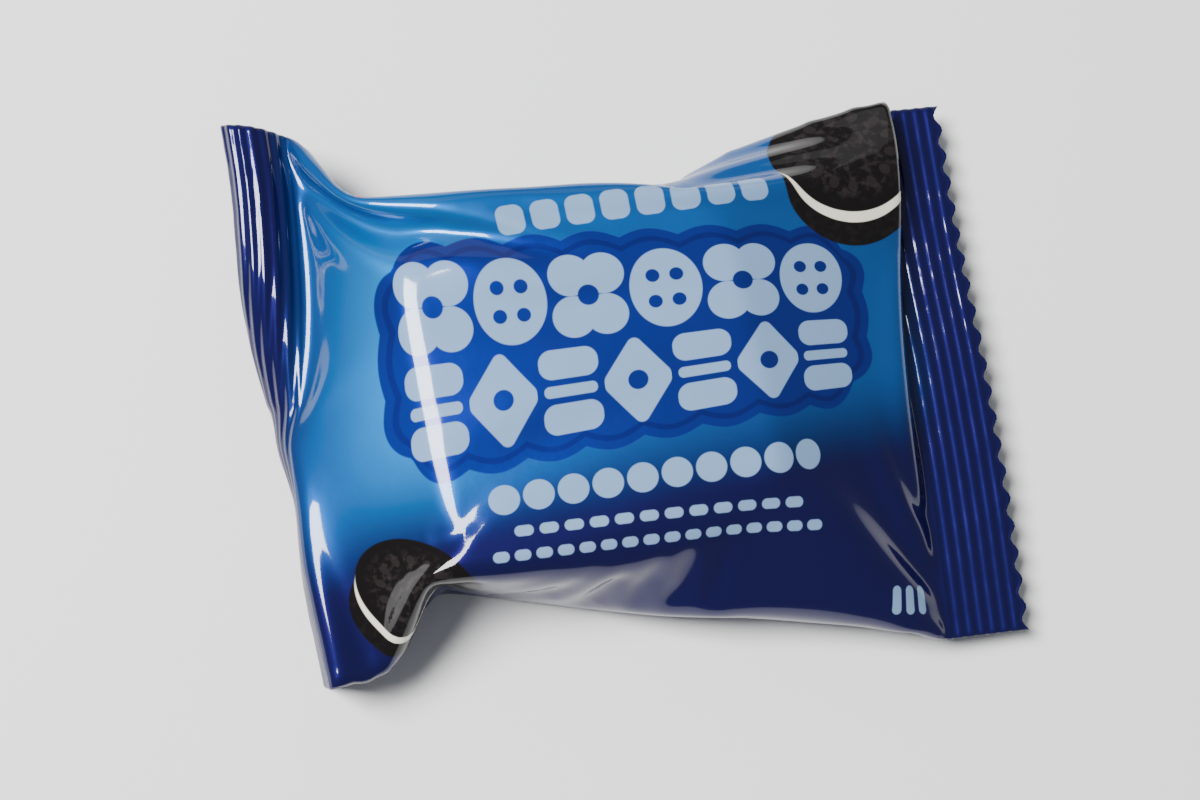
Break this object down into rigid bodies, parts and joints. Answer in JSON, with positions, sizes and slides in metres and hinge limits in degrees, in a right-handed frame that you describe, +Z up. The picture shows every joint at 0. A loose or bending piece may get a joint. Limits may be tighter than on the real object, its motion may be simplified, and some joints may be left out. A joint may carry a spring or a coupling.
{
  "type": "flow-wrap snack pack of chocolate sandwich cookies",
  "caption": "Small sealed pillow pack of glossy blue film around a short stack of sandwich biscuits, with a crimped zigzag seal at each end.",
  "frame": {"origin": "on the surface the pack lies on, under the middle of its bounding box", "axes": "+X along the pack from the end seal that is folded over to the end seal that lies flat, +Y across the pack towards the top of its front print, +Z up out of the front"},
  "size_m": [0.091, 0.0704, 0.019],
  "materials": {
    "printed_film": "gloss"
  },
  "bodies": {
    "root": {"film_pack": "printed_film"}
  },
  "joints": []
}
